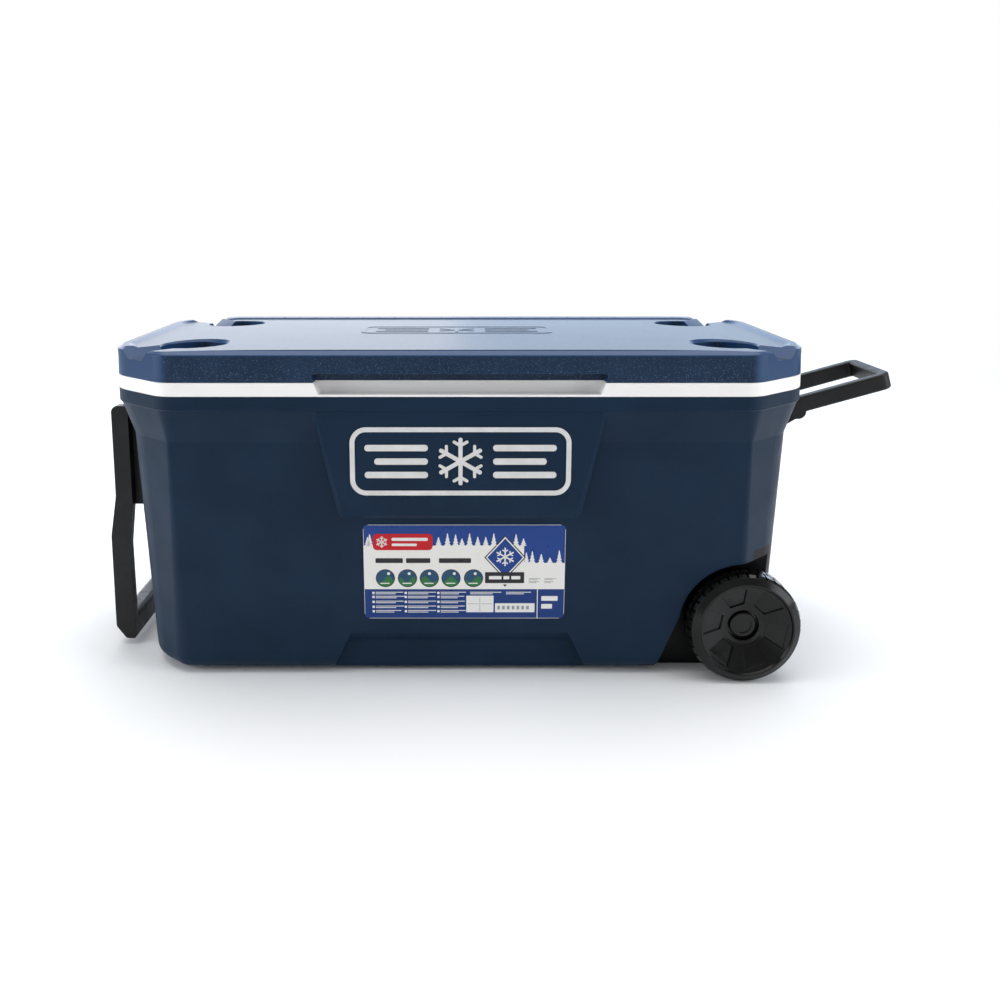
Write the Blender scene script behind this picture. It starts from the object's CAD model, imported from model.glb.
"""Looks of the wheeled cooler: materials, printed label, ruler marks, light and camera."""

import math

import bmesh
import bpy
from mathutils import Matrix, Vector
from mathutils.bvhtree import BVHTree


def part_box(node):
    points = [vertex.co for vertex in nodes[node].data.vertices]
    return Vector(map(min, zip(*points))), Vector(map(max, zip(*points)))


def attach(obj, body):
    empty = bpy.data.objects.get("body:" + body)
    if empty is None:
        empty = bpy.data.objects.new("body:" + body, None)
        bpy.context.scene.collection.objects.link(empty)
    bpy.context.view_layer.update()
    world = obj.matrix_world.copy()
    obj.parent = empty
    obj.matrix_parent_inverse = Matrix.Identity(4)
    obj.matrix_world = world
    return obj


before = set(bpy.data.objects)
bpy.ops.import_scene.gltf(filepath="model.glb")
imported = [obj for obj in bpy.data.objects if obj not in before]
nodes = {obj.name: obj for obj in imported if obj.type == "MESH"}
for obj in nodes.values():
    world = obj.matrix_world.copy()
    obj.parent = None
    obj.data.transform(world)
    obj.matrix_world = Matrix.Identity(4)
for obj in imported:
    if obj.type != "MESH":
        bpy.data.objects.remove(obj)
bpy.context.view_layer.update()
MM = 0.001
WELL_FROM = (0.243, 0.122, 0.0)  # lowest X, Y and Z of a wheel well, in metres and without their signs
WELL_TO = (0.5, 0.174, 0.166)    # its highest ones

# ---- node helpers -------------------------------------------------------------------------------

def paint(red, green, blue):
    """Linear colour from display values of 0 to 255."""
    def linear(value):
        share = value / 255.0
        return share / 12.92 if share <= 0.04045 else ((share + 0.055) / 1.055) ** 2.4
    return (linear(red), linear(green), linear(blue), 1.0)


class Look:
    """A material on one principled shader, with short calls for the nodes that drive it."""

    def __init__(self, name, **fixed):
        self.material = bpy.data.materials.new(name)
        self.material.use_nodes = True
        self.tree = self.material.node_tree
        self.tree.nodes.clear()
        self.shader = self.node("ShaderNodeBsdfPrincipled")
        output = self.node("ShaderNodeOutputMaterial")
        self.link(self.shader.outputs["BSDF"], output.inputs["Surface"])
        self.place = self.node("ShaderNodeTexCoord").outputs["Object"]
        self.split = None
        for socket, value in fixed.items():
            self.shader.inputs[socket.replace("_", " ")].default_value = value

    def node(self, kind, **settings):
        """A new node with some of its attributes set."""
        made = self.tree.nodes.new(kind)
        for key, value in settings.items():
            setattr(made, key, value)
        return made

    def link(self, start, end):
        """Join an output to an input."""
        self.tree.links.new(start, end)

    def noise(self, size, detail=3.0, roughness=0.55, stretch=None):
        """Soft noise whose blobs are about size metres across."""
        made = self.node("ShaderNodeTexNoise")
        made.inputs["Scale"].default_value = 1.0 / size
        made.inputs["Detail"].default_value = detail
        made.inputs["Roughness"].default_value = roughness
        place = self.place
        if stretch is not None:
            mapping = self.node("ShaderNodeMapping")
            mapping.inputs["Scale"].default_value = stretch
            self.link(place, mapping.inputs["Vector"])
            place = mapping.outputs["Vector"]
        self.link(place, made.inputs["Vector"])
        return made.outputs["Fac"]

    def cells(self, size, feature="F1", smooth=0.0):
        """Distance to the nearest of points about size metres apart."""
        made = self.node("ShaderNodeTexVoronoi", feature=feature)
        made.inputs["Scale"].default_value = 1.0 / size
        if feature == "SMOOTH_F1":
            made.inputs["Smoothness"].default_value = smooth
        self.link(self.place, made.inputs["Vector"])
        return made.outputs["Distance"]

    def ramp(self, value, low, high, start=0.0, end=1.0):
        """Value from low to high turned into start to end, and held there outside."""
        made = self.node("ShaderNodeMapRange")
        made.clamp = True
        made.inputs["From Min"].default_value = low
        made.inputs["From Max"].default_value = high
        made.inputs["To Min"].default_value = start
        made.inputs["To Max"].default_value = end
        self.link(value, made.inputs["Value"])
        return made.outputs["Result"]

    def sum(self, operation, first, second):
        """Result of one maths operation on two numbers or outputs."""
        made = self.node("ShaderNodeMath", operation=operation)
        for socket, value in zip(made.inputs, (first, second)):
            if isinstance(value, float):
                socket.default_value = value
            else:
                self.link(value, socket)
        return made.outputs["Value"]

    def blend(self, share, first, second):
        """Colour from first to second."""
        made = self.node("ShaderNodeMix", data_type="RGBA")
        self.link(share, made.inputs["Factor"])
        for socket, value in ((made.inputs[6], first), (made.inputs[7], second)):
            if isinstance(value, tuple):
                socket.default_value = value
            else:
                self.link(value, socket)
        return made.outputs[2]

    def within(self, part, low, high, soft):
        """1 where one of the coordinates, without its sign, is from low to high metres, and 0 elsewhere."""
        if self.split is None:
            self.split = self.node("ShaderNodeSeparateXYZ")
            self.link(self.place, self.split.inputs[0])
        size = self.sum("ABSOLUTE", self.split.outputs[part], 0.0)
        rising = self.ramp(size, low - soft, low)
        falling = self.ramp(size, high, high + soft, 1.0, 0.0)
        return self.sum("MULTIPLY", rising, falling)

    def facing(self, axis):
        """How far the surface faces along one of its own axes."""
        geometry = self.node("ShaderNodeTexCoord").outputs["Normal"]
        made = self.node("ShaderNodeVectorMath", operation="DOT_PRODUCT")
        self.link(geometry, made.inputs[0])
        made.inputs[1].default_value = axis
        return made.outputs["Value"]

    def rounded(self, radius):
        """Normal that is bent over sharp edges, as moulded edges are."""
        made = self.node("ShaderNodeBevel", samples=4)
        made.inputs["Radius"].default_value = radius
        return made.outputs["Normal"]

    def edges(self, soft_normal, low=0.02, high=0.16):
        """1 on sharp edges and 0 on flat stretches."""
        geometry = self.node("ShaderNodeNewGeometry").outputs["Normal"]
        made = self.node("ShaderNodeVectorMath", operation="DOT_PRODUCT")
        self.link(geometry, made.inputs[0])
        self.link(soft_normal, made.inputs[1])
        return self.ramp(self.sum("SUBTRACT", 1.0, made.outputs["Value"]), low, high)

    def relief(self, height, depth, normal=None):
        """Bump of depth metres from a height of 0 to 1."""
        made = self.node("ShaderNodeBump")
        made.inputs["Strength"].default_value = 1.0
        made.inputs["Distance"].default_value = depth
        self.link(height, made.inputs["Height"])
        if normal is not None:
            self.link(normal, made.inputs["Normal"])
        return made.outputs["Normal"]

    def wear(self, colour=None, roughness=None, normal=None):
        """Connects what drives the shader."""
        if colour is not None:
            self.link(colour, self.shader.inputs["Base Color"])
        if roughness is not None:
            self.link(roughness, self.shader.inputs["Roughness"])
        if normal is not None:
            self.link(normal, self.shader.inputs["Normal"])
        return self.material


# ---- materials ----------------------------------------------------------------------------------

def shell_plastic():
    """Navy polyethylene of the tub: satin, with faint flow mottling, paler edges and dark wheel wells."""
    look = Look("shell_navy", Specular_IOR_Level=0.14)
    soft = look.rounded(1.2 * MM)
    edge = look.edges(soft)
    mottle = look.noise(90 * MM, 4.0)
    speck = look.noise(1.4 * MM, 2.0)
    colour = look.blend(look.ramp(mottle, 0.35, 0.65), paint(13, 36, 57), paint(18, 41, 64))
    colour = look.blend(look.ramp(speck, 0.62, 0.8, 0.0, 0.35), colour, paint(38, 60, 82))
    colour = look.blend(look.sum("MULTIPLY", edge, 0.45), colour, paint(54, 76, 100))
    reach = [look.within(part, low, high, MM) for part, low, high in zip("XYZ", WELL_FROM, WELL_TO)]
    hollow = look.sum("MULTIPLY", look.sum("MULTIPLY", reach[0], reach[1]), reach[2])
    hollow = look.sum("MULTIPLY", hollow, look.ramp(look.split.outputs["X"], 0.0, MM))
    colour = look.blend(hollow, colour, paint(15, 16, 18))
    rough = look.ramp(look.noise(35 * MM, 4.0), 0.3, 0.7, 0.40, 0.50)
    grain = look.sum("ADD", look.noise(0.9 * MM, 2.0), look.noise(14 * MM, 2.0))
    return look.wear(colour, rough, look.relief(grain, 0.05 * MM, soft))


def lid_plastic():
    """Navy polyethylene of the lid: a pebbled top and front, smoother on its bevels."""
    look = Look("lid_navy", Specular_IOR_Level=0.26)
    soft = look.rounded(1.4 * MM)
    edge = look.edges(soft)
    pebble = look.cells(2.1 * MM, "SMOOTH_F1", 0.6)
    fine = look.noise(1.0 * MM, 2.0)
    up = look.ramp(look.facing((0.0, 0.0, 1.0)), 0.985, 0.998)
    front = look.ramp(look.facing((0.0, -1.0, 0.0)), 0.94, 0.99)
    textured = look.sum("MAXIMUM", up, front)
    height = look.sum("MULTIPLY", look.sum("ADD", pebble, look.sum("MULTIPLY", fine, 0.6)), textured)
    mottle = look.noise(70 * MM, 4.0)
    colour = look.blend(look.ramp(mottle, 0.35, 0.65), paint(17, 40, 64), paint(23, 47, 73))
    colour = look.blend(textured, paint(32, 64, 104), colour)
    glint = look.sum("MULTIPLY", look.ramp(look.noise(1.3 * MM, 1.0), 0.62, 0.70), textured)
    colour = look.blend(look.sum("MULTIPLY", glint, 0.7), colour, paint(84, 110, 142))
    colour = look.blend(look.sum("MULTIPLY", edge, 0.5), colour, paint(70, 94, 126))
    rough = look.ramp(textured, 0.0, 1.0, 0.30, 0.36)
    return look.wear(colour, rough, look.relief(height, 0.09 * MM, soft))


def liner_plastic():
    """White polypropylene of the tub's lining and the lid's underside."""
    look = Look("liner_white", Specular_IOR_Level=0.5, Subsurface_Weight=0.06, Subsurface_Scale=4 * MM)
    look.shader.inputs["Subsurface Radius"].default_value = (1.0, 0.95, 0.9)
    soft = look.rounded(0.9 * MM)
    mottle = look.ramp(look.noise(80 * MM, 3.0), 0.35, 0.65)
    colour = look.blend(mottle, paint(252, 248, 244), paint(255, 252, 249))
    rough = look.ramp(look.noise(30 * MM, 4.0), 0.3, 0.7, 0.28, 0.40)
    wave = look.sum("ADD", look.noise(28 * MM, 2.0), look.sum("MULTIPLY", look.noise(1.2 * MM, 1.0), 0.3))
    return look.wear(colour, rough, look.relief(wave, 0.06 * MM, soft))


def handle_plastic(name, shade, sheen_low, sheen_high, grain):
    """Black glass-filled nylon or polypropylene with a spark-eroded grain."""
    look = Look(name, Specular_IOR_Level=0.3)
    soft = look.rounded(0.8 * MM)
    edge = look.edges(soft)
    dark = paint(*shade)
    pale = paint(*(level + 10 for level in shade))
    colour = look.blend(look.ramp(look.noise(25 * MM, 4.0), 0.35, 0.7), dark, pale)
    colour = look.blend(look.sum("MULTIPLY", edge, 0.4), colour, paint(*(level + 34 for level in shade)))
    rough = look.ramp(look.noise(12 * MM, 4.0), 0.3, 0.7, sheen_low, sheen_high)
    spark = look.sum("ADD", look.noise(0.8 * MM, 3.0), look.cells(1.5 * MM))
    return look.wear(colour, rough, look.relief(spark, grain * MM, soft))


def metal(name, shade, rough_low, rough_high, brush):
    """Bright steel with fine turning lines and a little tarnish."""
    look = Look(name, Metallic=1.0)
    soft = look.rounded(0.35 * MM)
    tarnish = look.noise(6 * MM, 5.0)
    dull = paint(*(int(level * 0.78) for level in shade))
    colour = look.blend(look.ramp(tarnish, 0.4, 0.7), paint(*shade), dull)
    lines = look.noise(2.5 * MM, 2.0, stretch=brush)
    rough = look.ramp(lines, 0.3, 0.7, rough_low, rough_high)
    return look.wear(colour, rough, look.relief(lines, 0.02 * MM, soft))


def foam():
    """Cream rigid foam with small open cells."""
    look = Look("foam_cream", Roughness=0.9, Specular_IOR_Level=0.2)
    cell = look.cells(1.6 * MM)
    colour = look.blend(look.ramp(cell, 0.1, 0.7), paint(196, 178, 128), paint(232, 218, 170))
    return look.wear(colour, normal=look.relief(cell, 0.5 * MM))


def rubber():
    """Black seal rubber with a faint mottle."""
    look = Look("seal_rubber", Specular_IOR_Level=0.35)
    colour = look.blend(look.ramp(look.noise(5 * MM, 4.0), 0.35, 0.7), paint(22, 22, 23), paint(36, 36, 37))
    rough = look.ramp(look.noise(3 * MM, 3.0), 0.3, 0.7, 0.62, 0.78)
    return look.wear(colour, rough, look.relief(look.noise(0.5 * MM, 2.0), 0.04 * MM))


def film(name, shade, gloss=0.30):
    """Printed film: a flat ink with a faint dot screen under a semi-gloss face."""
    look = Look(name, Specular_IOR_Level=0.25)
    dots = look.ramp(look.cells(0.45 * MM), 0.2, 0.5)
    lighter = paint(*(min(255, level + 9) for level in shade))
    colour = look.blend(look.sum("MULTIPLY", dots, 0.6), paint(*shade), lighter)
    rough = look.ramp(look.noise(18 * MM, 4.0), 0.3, 0.7, gloss - 0.04, gloss + 0.08)
    return look.wear(colour, rough, look.relief(look.noise(30 * MM, 2.0), 0.12 * MM))


def badge_paint():
    """Warm white moulded badge with an eggshell face."""
    look = Look("badge_white", Specular_IOR_Level=0.4)
    soft = look.rounded(0.4 * MM)
    mottle = look.ramp(look.noise(22 * MM, 4.0), 0.35, 0.65)
    colour = look.blend(mottle, paint(214, 212, 210), paint(226, 224, 222))
    rough = look.ramp(look.noise(4 * MM, 3.0), 0.3, 0.7, 0.42, 0.56)
    return look.wear(colour, rough, look.relief(look.noise(0.9 * MM, 2.0), 0.05 * MM, soft))


def dress(material, *names):
    """Give every slot of the named nodes one material."""
    for name in names:
        for place in nodes[name].material_slots:
            place.material = material


def dress_everything():
    """Make the materials and give each node its own."""
    navy = shell_plastic()
    lid_navy = lid_plastic()
    white = liner_plastic()
    handle = handle_plastic("handle_black", (13, 13, 14), 0.36, 0.50, 0.05)
    wheel = handle_plastic("wheel_black", (7, 7, 6), 0.14, 0.26, 0.015)
    screw = metal("screw_steel", (188, 188, 186), 0.22, 0.40, (1.0, 1.0, 8.0))
    rod_steel = metal("axle_steel", (160, 160, 158), 0.28, 0.45, (1.0, 12.0, 1.0))
    hinge = metal("hinge_steel", (196, 196, 194), 0.26, 0.42, (0.2, 6.0, 6.0))
    dress(navy, "outer_shell")
    dress(lid_navy, "lid_shell")
    dress(white, "inner_liner", "lid_liner", "drain_spout", "drain_nut")
    dress(foam(), "foam_core", "lid_foam")
    dress(badge_paint(), "front_badge")
    dress(film("label_white", (236, 233, 228)), "front_label")
    dress(handle, "tow_bracket", "tow_handle", "tow_handle_pins")
    dress(handle, "lift_bracket", "lift_handle", "lift_handle_pins", "drain_plug")
    dress(wheel, "wheel_front", "wheel_rear", "wheel_front_cap", "wheel_rear_cap")
    dress(screw, "tow_bracket_screws", "lift_bracket_screws", "hinge_tub_screws", "hinge_lid_screws")
    dress(rod_steel, "axle_rod", "axle_push_nuts")
    dress(hinge, "hinge_tub_leaves", "hinge_lid_leaves", "hinge_pins")
    dress(rubber(), "drain_washer", "drain_plug_seal")


# ---- flat shapes --------------------------------------------------------------------------------

def arc(centre_x, centre_y, radius, start, end, steps):
    """Points along an arc, angles in degrees."""
    points = []
    for i in range(steps + 1):
        angle = math.radians(start + (end - start) * i / steps)
        points.append((centre_x + radius * math.cos(angle), centre_y + radius * math.sin(angle)))
    return points


def bar(low_x, low_y, high_x, high_y, radius=0.0):
    """Rectangle with rounded corners."""
    if radius <= 0:
        return [(low_x, low_y), (high_x, low_y), (high_x, high_y), (low_x, high_y)]
    return (arc(low_x + radius, low_y + radius, radius, 180, 270, 4)
            + arc(high_x - radius, low_y + radius, radius, 270, 360, 4)
            + arc(high_x - radius, high_y - radius, radius, 0, 90, 4)
            + arc(low_x + radius, high_y - radius, radius, 90, 180, 4))


def disc(centre_x, centre_y, radius):
    """Outline of a round spot."""
    return arc(centre_x, centre_y, radius, 0, 352.5, 47)


def stroke(start, end, width):
    """Straight line of some width."""
    along = Vector((end[0] - start[0], end[1] - start[1])).normalized()
    side = Vector((-along.y, along.x)) * width / 2
    first = Vector(start)
    last = Vector(end)
    return [tuple(first - side), tuple(last - side), tuple(last + side), tuple(first + side)]


def snowflake(centre_x, centre_y, radius, width):
    """Six arms with a pair of twigs each."""
    shapes = []
    for i in range(6):
        angle = math.radians(90 + 60 * i)
        heading = Vector((math.cos(angle), math.sin(angle)))
        centre = Vector((centre_x, centre_y))
        shapes.append(stroke(centre, centre + heading * radius, width))
        fork = centre + heading * radius * 0.55
        for turn in (-55, 55):
            twig = Vector((math.cos(angle + math.radians(turn)), math.sin(angle + math.radians(turn))))
            shapes.append(stroke(fork, fork + twig * radius * 0.36, width * 0.8))
    return shapes


class Face:
    """The outer face of a flat CAD plate: places points on it in millimetres from its lower left corner."""

    def __init__(self, node):
        mesh = nodes[node].data
        outer = max((p for p in mesh.polygons if p.normal.y < -0.5), key=lambda p: p.area)
        self.out = outer.normal.normalized()
        self.right = Vector((1.0, 0.0, 0.0))
        self.up = self.out.cross(self.right)
        if self.up.z < 0:
            self.up = -self.up
        on_face = Vector(outer.center)
        across = [(v.co - on_face).dot(self.right) for v in mesh.vertices]
        rising = [(v.co - on_face).dot(self.up) for v in mesh.vertices
                  if abs((v.co - on_face).dot(self.out)) < 0.05 * MM]
        self.width = (max(across) - min(across)) / MM
        self.height = (max(rising) - min(rising)) / MM
        self.corner = on_face + self.right * min(across) + self.up * min(rising)

    def __call__(self, x, y, lift):
        return self.corner + (self.right * x + self.up * y + self.out * lift) * MM


class Draped:
    """Places points on top of a CAD node, in millimetres in the row frame."""

    def __init__(self, node):
        mesh = bmesh.new()
        mesh.from_mesh(nodes[node].data)
        self.tree = BVHTree.FromBMesh(mesh)
        mesh.free()

    def __call__(self, x, y, lift):
        hit = self.tree.ray_cast(Vector((x * MM, y * MM, 1.0)), Vector((0.0, 0.0, -1.0)))[0]
        return hit + Vector((0.0, 0.0, lift * MM))


def raised(name, shapes, place, low, high, material, body):
    """One piece of flat prisms that stand from low to high millimetres above a surface."""
    mesh = bmesh.new()
    for shape in shapes:
        bottom = [mesh.verts.new(place(x, y, low)) for x, y in shape]
        top = [mesh.verts.new(place(x, y, high)) for x, y in shape]
        mesh.faces.new(top)
        mesh.faces.new(list(reversed(bottom)))
        count = len(shape)
        for i in range(count):
            j = (i + 1) % count
            mesh.faces.new((bottom[i], bottom[j], top[j], top[i]))
    mesh.normal_update()
    bmesh.ops.triangulate(mesh, faces=[f for f in mesh.faces if len(f.verts) > 4], ngon_method="EAR_CLIP")
    bmesh.ops.recalc_face_normals(mesh, faces=mesh.faces)
    data = bpy.data.meshes.new(name)
    mesh.to_mesh(data)
    mesh.free()
    data.materials.append(material)
    piece = bpy.data.objects.new(name, data)
    bpy.context.scene.collection.objects.link(piece)
    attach(piece, body)
    return piece


# ---- printed label ------------------------------------------------------------------------------

INK_STEP = 0.07                 # each layer of ink stands this much above the one under it, in mm
BAND_TOP = 40.5                 # top of the lower blue band
LEFT_TREES = [(1.5, 112), (8.2, 116), (95.6, 112), (107, 117), (117.3, 115.6), (125.4, 110), (135, 117),
              (145.4, 112.4), (155.6, 112), (165.8, 117), (194, 116), (203.5, 110)]
RIGHT_TREES = [(207.5, 91), (215, 93), (226.4, 89), (237.6, 84), (249.4, 94)]
LEFT_VALLEY = 100.0
RIGHT_VALLEY = 76.5
VALLEY_STEP = 204.5


def fir(centre, tip, foot, half):
    """One side view of a fir, from its lower left to its lower right."""
    tiers = 4
    rise = tip - foot
    left = []
    for i in range(tiers):
        reach = half * (1 - i / tiers)
        left.append((centre - reach, foot + rise * i / tiers))
        left.append((centre - reach * 0.45, foot + rise * (i + 0.8) / tiers))
    right = [(2 * centre - x, y) for x, y in reversed(left)]
    return left + [(centre, tip)] + right


def sky(width, height):
    """Blue sky over the label's top, in a left block and a deeper right one."""
    inset = 0.5
    top_right = arc(width - 4.5, height - 4.5, 4.0, 0, 90, 4)
    top_left = arc(4.5, height - 4.5, 4.0, 90, 180, 4)
    left = [(inset, LEFT_VALLEY), (VALLEY_STEP, LEFT_VALLEY), (VALLEY_STEP, height - inset)] + top_left
    right = [(VALLEY_STEP, RIGHT_VALLEY), (width - inset, RIGHT_VALLEY)] + top_right
    right.append((VALLEY_STEP, height - inset))
    return [left, right]


def forest(width):
    """Rows of firs that stand up from both valleys."""
    trees = [fir(max(centre, 5.5), tip, LEFT_VALLEY, 4.6) for centre, tip in LEFT_TREES]
    trees += [fir(min(centre, width - 5.5), tip, RIGHT_VALLEY, 4.4) for centre, tip in RIGHT_TREES]
    return trees


def text_rows(low_x, high_x, tops, lengths, thickness, pitch):
    """Pairs of thin lines that stand for small print."""
    shapes = []
    for top, length in zip(tops, lengths):
        for line, share in ((0, 1.0), (1, 0.72)):
            y = top - line * pitch
            shapes.append(bar(low_x, y - thickness, low_x + (high_x - low_x) * length * share, y))
    return shapes


def printed_label():
    """Generic print on the label: thin layers of ink, with bars for words."""
    face = Face("front_label")
    blue = film("ink_blue", (22, 60, 134))
    deep = film("ink_deep_blue", (18, 52, 116))
    red = film("ink_red", (196, 18, 30))
    white = film("ink_white", (232, 230, 226))
    grey = film("ink_grey", (150, 152, 158))
    dark = film("ink_dark", (38, 38, 42))
    green = film("ink_green", (46, 112, 62))
    water = film("ink_water", (36, 74, 104))
    width = face.width
    height = face.height

    def layer(name, shapes, level, ink):
        low, high = INK_STEP * (level - 1), INK_STEP * level
        raised("label_" + name, shapes, face, low, high, ink, "root")

    band = (arc(4.5, 4.5, 4.0, 180, 270, 4) + arc(width - 4.5, 4.5, 4.0, 270, 360, 4)
            + [(width - 0.5, BAND_TOP), (0.5, BAND_TOP)])
    layer("sky", sky(width, height), 1, blue)
    layer("band", [band], 1, deep)
    layer("firs", forest(width), 2, white)
    layer("red_tag", [bar(12, 94, 88, 116, 5)], 3, red)
    titles = [bar(low_x, 76.5, high_x, 83, 1.2) for low_x, high_x in ((15, 50), (54, 85), (96, 137))]
    layer("title_bars", titles, 1, dark)

    centres = [27.3, 55.6, 83.6, 111.4, 140.2]
    spot_y = 55.6
    layer("picture_rims", [disc(x, spot_y, 12.3) for x in centres], 1, dark)
    layer("picture_skies", [disc(x, spot_y, 11.4) for x in centres], 2, water)
    hills = []
    for i, x in enumerate(centres):
        low = arc(x, spot_y, 11.4, 200, 340, 14)
        crest = [(x + 9 - 3.6 * k, spot_y - 1.5 + 4.5 * math.sin(1.1 * k + 1.7 * i)) for k in range(6)]
        hills.append(low + crest)
    layer("picture_hills", hills, 3, green)
    suns = [disc(x + 4.2 - 2 * (i % 3), spot_y + 6.4, 1.9) for i, x in enumerate(centres)]
    lakes = [bar(x - 6.5, spot_y - 7.6, x + 5.5, spot_y - 6.2, 0.6) for x in centres]
    layer("picture_suns", suns, 3, white)
    layer("picture_lakes", lakes, 4, white)

    diamond_x = 180.4
    diamond_y = 84.0

    def diamond(half_x, half_y):
        return [(diamond_x, diamond_y - half_y), (diamond_x + half_x, diamond_y),
                (diamond_x, diamond_y + half_y), (diamond_x - half_x, diamond_y)]
    layer("diamond_edge", [diamond(26.5, 30.2)], 2, dark)
    layer("diamond_rim", [diamond(24.6, 28.1)], 3, white)
    layer("diamond_fill", [diamond(22.6, 25.8)], 4, blue)
    layer("diamond_flake", snowflake(diamond_x, diamond_y + 1.0, 12.5, 1.9), 5, white)
    layer("claim_bar", [bar(155, 49, 205, 64, 0.8), [(178, 47), (180.4, 44.2), (182.8, 47)]], 5, dark)
    layer("claim_dashes", [bar(160, 54.2, 176, 58.8, 0.8), bar(178.5, 54.2, 186, 58.8, 0.8),
                           bar(188.5, 54.2, 200, 58.8, 0.8)], 6, white)
    layer("fine_print", text_rows(211, 226, [55.5, 51.5], [1.0, 0.9], 0.7, 1.6)
          + text_rows(231, 246, [55.5, 51.5], [1.0, 0.8], 0.7, 1.6), 1, grey)

    tops = [36.8, 31.2, 24.4, 17.6, 11.4]
    small = []
    columns = ((14.5, 50, (1.0, 1.05, 1.0, 1.02, 0.92)),
               (56, 92, (1.0, 0.98, 1.0, 1.0, 1.0)),
               (98, 129, (1.05, 0.98, 1.0, 1.0, 1.04)))
    for low_x, high_x, lengths in columns:
        small += text_rows(low_x, high_x, tops, lengths, 0.95, 2.2)
        small += [bar(low_x - 4.4, top - 3.0, low_x - 1.4, top + 0.1, 0.3) for top in tops]
    small += text_rows(136, 176, tops[:1], [1.0], 0.95, 2.2)
    small += text_rows(182, 214, tops[:1], [1.0], 0.95, 2.2)
    layer("small_print", small, 2, white)
    layer("boxes", [bar(131, 8.5, 166, 31.5, 0.6), bar(168, 8.5, 219, 21, 1.2)], 2, white)
    layer("box_marks", [bar(133, 20, 147, 20.6), bar(150, 20, 164, 20.6), bar(148.2, 10, 148.8, 29)]
          + [bar(171 + 6.2 * i, 12.4, 174.4 + 6.2 * i, 17.4, 0.5) for i in range(7)], 3, grey)
    layer("divider", [bar(221.9, 0.5, 222.9, BAND_TOP)], 2, white)
    layer("size_bars", [bar(227.5, 24.5, 248.5, 31, 1.0), bar(227.5, 13.5, 241.5, 20, 1.0)], 2, white)
    tag_lines = [bar(36, 106.6, 82, 110.8, 1.6), bar(36, 99.6, 68, 103, 1.4)]
    layer("tag_marks", snowflake(23.5, 105, 7.6, 1.5) + tag_lines, 4, white)


# ---- ruler marks on the lid ---------------------------------------------------------------------

TICK_COUNT = 22
TICK_PITCH = 25.4
TICK_START = -283.0


def ruler_marks(ink):
    """Raised marks an inch apart along the lid's rear rim, with longer ones every sixth."""
    top = Draped("lid_shell")
    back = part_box("lid_shell")[1].y / MM
    marks = []
    for i in range(TICK_COUNT):
        x = TICK_START + TICK_PITCH * i
        reach = 11.0 if i % 6 == 0 else 7.0
        marks.append(bar(x - 0.7, back - 26.0, x + 0.7, back - 26.0 + reach, 0.3))
    raised("ruler_marks", marks, top, -0.3, 0.35, ink, "lid")


# ---- studio -------------------------------------------------------------------------------------

CAMERA_SPOT = Vector((0.0, -1.3816, 0.598))
CAMERA_TILT = 80.95
FOCAL = 35.2
SHIFT_X = 0.0403
SHIFT_Y = -0.1324
FLOOR_RADIUS = 3.1
SOFTBOXES = (                   # name, place, aim, width, height, watts, colour
    ("top", (0.0, 0.3, 2.6), (0.0, 0.0, 0.2), 3.4, 2.6, 78, (1.0, 1.0, 1.0)),
    ("back_left", (-1.75, 3.4, 1.1), (-1.75, 0.0, 0.5), 3.5, 2.1, 66, (0.84, 0.90, 1.0)),
    ("back_right", (1.75, 3.4, 1.1), (1.75, 0.0, 0.5), 3.5, 2.1, 52, (0.64, 0.79, 1.0)),
    ("left", (-2.6, -0.9, 1.0), (0.0, 0.0, 0.25), 1.6, 1.6, 30, (0.90, 0.95, 1.0)),
    ("right", (2.6, -0.9, 1.0), (0.0, 0.0, 0.25), 1.6, 1.6, 30, (0.90, 0.95, 1.0)),
)


def camera():
    """Camera in front of the cooler and a little above its lid."""
    data = bpy.data.cameras.new("view")
    data.sensor_width = 36.0
    data.lens = FOCAL
    data.shift_x = SHIFT_X
    data.shift_y = SHIFT_Y
    made = bpy.data.objects.new("view", data)
    bpy.context.scene.collection.objects.link(made)
    made.location = CAMERA_SPOT
    made.rotation_euler = (math.radians(CAMERA_TILT), 0.0, 0.0)
    bpy.context.scene.camera = made


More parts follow.
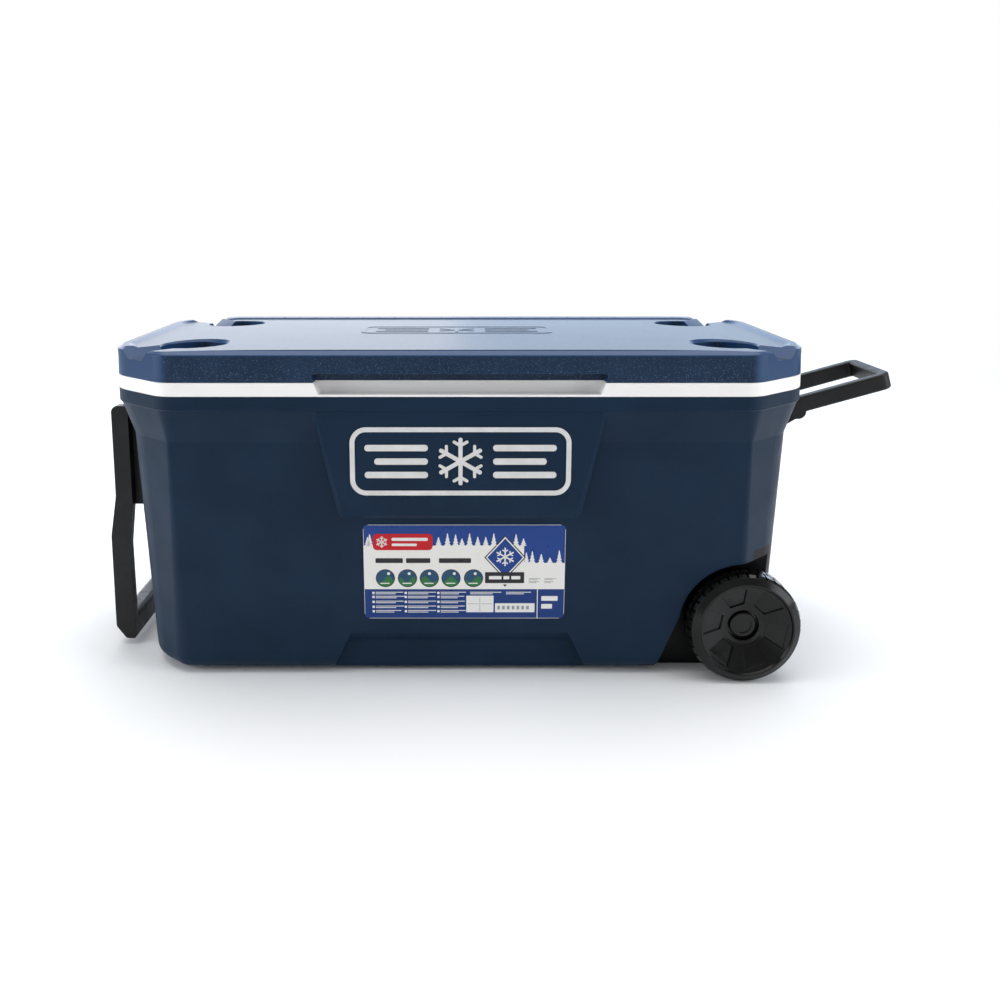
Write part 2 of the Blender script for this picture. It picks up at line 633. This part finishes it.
def softbox(name, spot, aim, width, height, watts, colour):
    """Rectangular light that faces its aim and is not seen itself."""
    data = bpy.data.lights.new(name, "AREA")
    data.shape = "RECTANGLE"
    data.size = width
    data.size_y = height
    data.energy = watts
    data.color = colour
    made = bpy.data.objects.new(name, data)
    bpy.context.scene.collection.objects.link(made)
    made.location = spot
    made.rotation_euler = (Vector(aim) - Vector(spot)).to_track_quat("-Z", "Y").to_euler()
    made.visible_camera = False


def pale_floor():
    """Round white floor under the cooler."""
    mesh = bmesh.new()
    bmesh.ops.create_circle(mesh, cap_ends=True, segments=96, radius=FLOOR_RADIUS)
    data = bpy.data.meshes.new("floor")
    mesh.to_mesh(data)
    mesh.free()
    look = Look("floor_white", Roughness=0.9, Specular_IOR_Level=0.1)
    colour = look.blend(look.noise(0.8, 2.0), paint(246, 246, 246), paint(250, 250, 250))
    data.materials.append(look.wear(colour))
    floor = bpy.data.objects.new("floor", data)
    bpy.context.scene.collection.objects.link(floor)


def surroundings():
    """White all round as seen, and a softer grey as a source of light."""
    world = bpy.data.worlds.new("studio")
    bpy.context.scene.world = world
    world.use_nodes = True
    tree = world.node_tree
    tree.nodes.clear()
    seen = tree.nodes.new("ShaderNodeBackground")
    seen.inputs["Color"].default_value = (1.0, 1.0, 1.0, 1.0)
    glow = tree.nodes.new("ShaderNodeBackground")
    glow.inputs["Color"].default_value = (0.96, 0.98, 1.0, 1.0)
    glow.inputs["Strength"].default_value = 0.35
    path = tree.nodes.new("ShaderNodeLightPath")
    mix = tree.nodes.new("ShaderNodeMixShader")
    output = tree.nodes.new("ShaderNodeOutputWorld")
    tree.links.new(path.outputs["Is Camera Ray"], mix.inputs[0])
    tree.links.new(glow.outputs[0], mix.inputs[1])
    tree.links.new(seen.outputs[0], mix.inputs[2])
    tree.links.new(mix.outputs[0], output.inputs[0])


def studio():
    """Plain colours, white surroundings, the floor and the lights."""
    view = bpy.context.scene.view_settings
    view.view_transform = "Standard"
    view.look = "None"
    surroundings()
    pale_floor()
    for settings in SOFTBOXES:
        softbox(*settings)


camera()
dress_everything()
printed_label()
ruler_marks(handle_plastic("ruler_navy", (20, 34, 56), 0.4, 0.5, 0.04))
studio()
